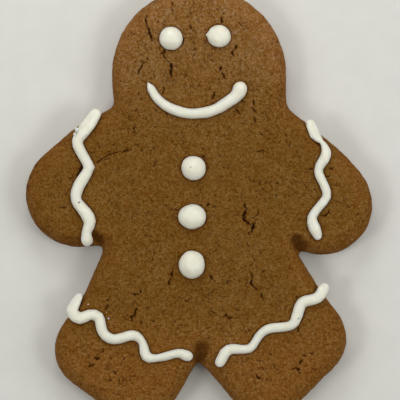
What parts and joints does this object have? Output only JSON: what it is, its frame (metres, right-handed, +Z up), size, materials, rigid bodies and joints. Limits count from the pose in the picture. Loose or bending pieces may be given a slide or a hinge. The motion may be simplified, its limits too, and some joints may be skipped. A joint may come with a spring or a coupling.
{
  "type": "gingerbread man cookie",
  "caption": "Flat gingerbread figure cookie with a rounded rim, piped white icing dots for eyes and buttons, a smile and wavy cuff lines.",
  "frame": {"origin": "middle of the underside's bounding box, on the surface that the cookie lies on", "axes": "+X across the cookie, +Y from the feet to the head, +Z up out of the iced face"},
  "size_m": [0.1, 0.1249, 0.0124],
  "materials": {
    "gingerbread": "matte baked gingerbread crumb with fine pores and short cracks",
    "icing": "set royal icing, off-white, smooth with a soft satin sheen"
  },
  "bodies": {
    "root": {"cookie": "gingerbread", "icing_eye_left": "icing", "icing_eye_right": "icing", "icing_smile": "icing", "icing_button_top": "icing", "icing_button_middle": "icing", "icing_button_bottom": "icing", "icing_sleeve_left": "icing", "icing_sleeve_right": "icing", "icing_trouser_left": "icing", "icing_trouser_right": "icing"}
  },
  "joints": []
}
